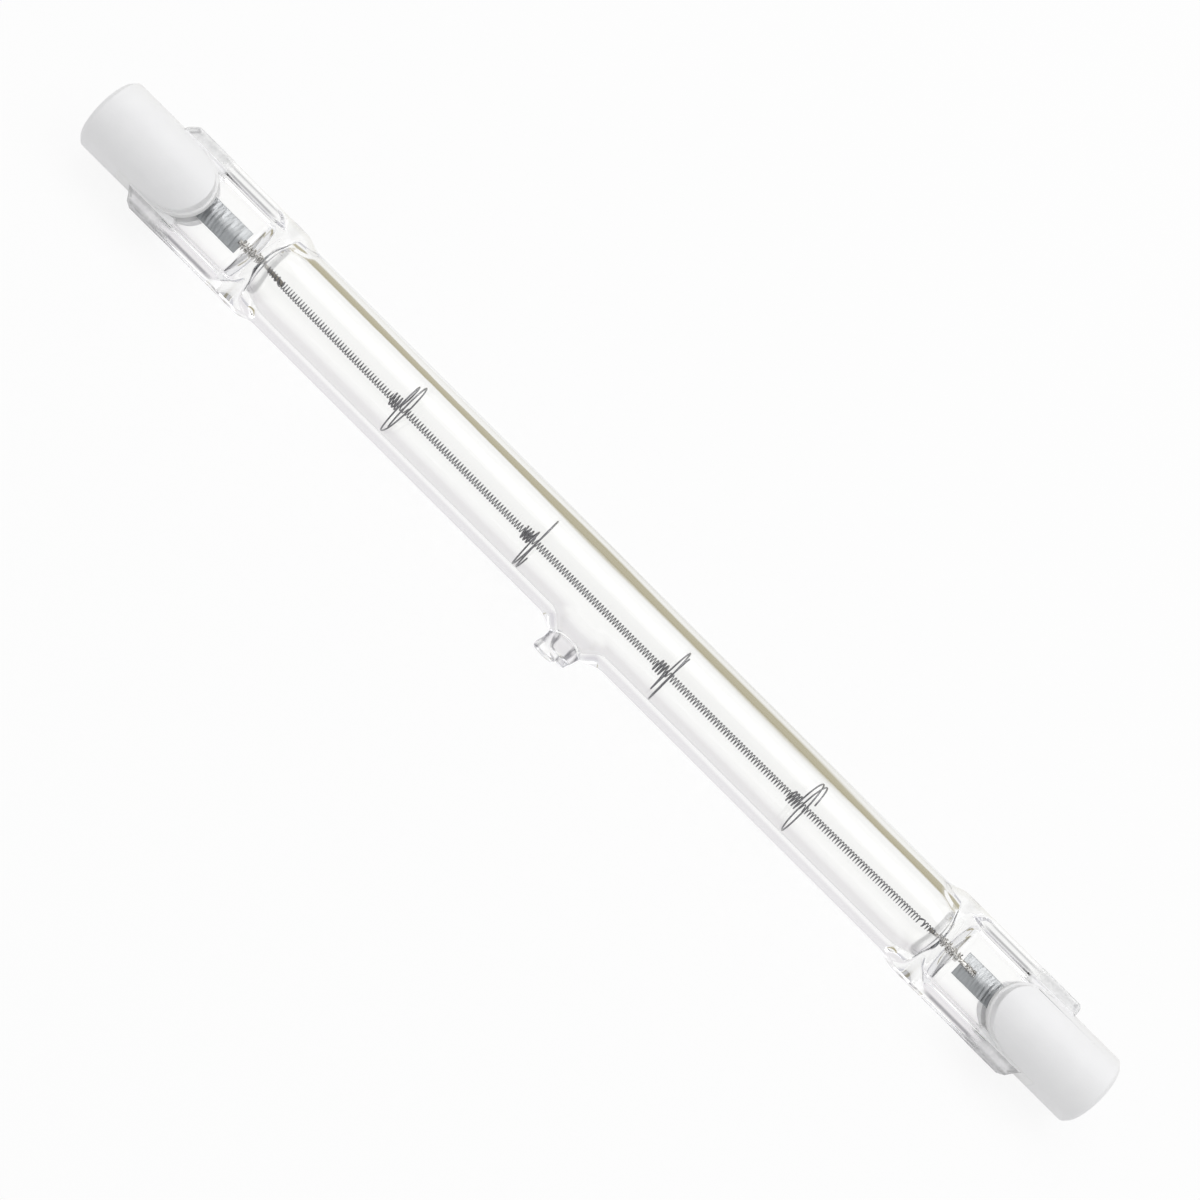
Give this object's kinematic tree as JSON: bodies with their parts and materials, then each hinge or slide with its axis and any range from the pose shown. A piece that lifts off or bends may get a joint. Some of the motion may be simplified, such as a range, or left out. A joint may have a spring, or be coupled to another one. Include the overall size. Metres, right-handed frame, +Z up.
{
  "type": "linear halogen bulb",
  "caption": "Double-ended linear halogen lamp: a clear quartz tube with a coiled filament, pressed flat at both ends and held in round ceramic caps with recessed contacts.",
  "frame": {"origin": "on the quartz tube's axis, half way between the two cap ends", "axes": "+X along the lamp towards the right cap; +Z up as the lamp lies on its tube and its exhaust tip; the tip points to -Y and down"},
  "size_m": [0.1176, 0.0111, 0.0081],
  "materials": {
    "quartz": "clear fused quartz, smooth, slightly uneven at the seals",
    "ceramic": "unglazed white steatite, matte",
    "cement": "rough off-white ceramic cement",
    "tungsten": "drawn tungsten wire, dark grey",
    "molybdenum": "thin rolled foil and wire, satin grey",
    "contact_metal": "nickel-plated, satin"
  },
  "bodies": {
    "root": {"envelope": "quartz", "filament": "tungsten", "filament_support_1": "tungsten", "filament_support_2": "tungsten", "filament_support_3": "tungsten", "filament_support_4": "tungsten", "inner_lead_left": "tungsten", "inner_lead_right": "tungsten", "foil_left": "molybdenum", "foil_right": "molybdenum", "outer_lead_left": "molybdenum", "outer_lead_right": "molybdenum", "ceramic_cap_left": "ceramic", "ceramic_cap_right": "ceramic", "contact_left": "contact_metal", "contact_right": "contact_metal", "cap_cement_left": "cement", "cap_cement_right": "cement"}
  },
  "joints": []
}
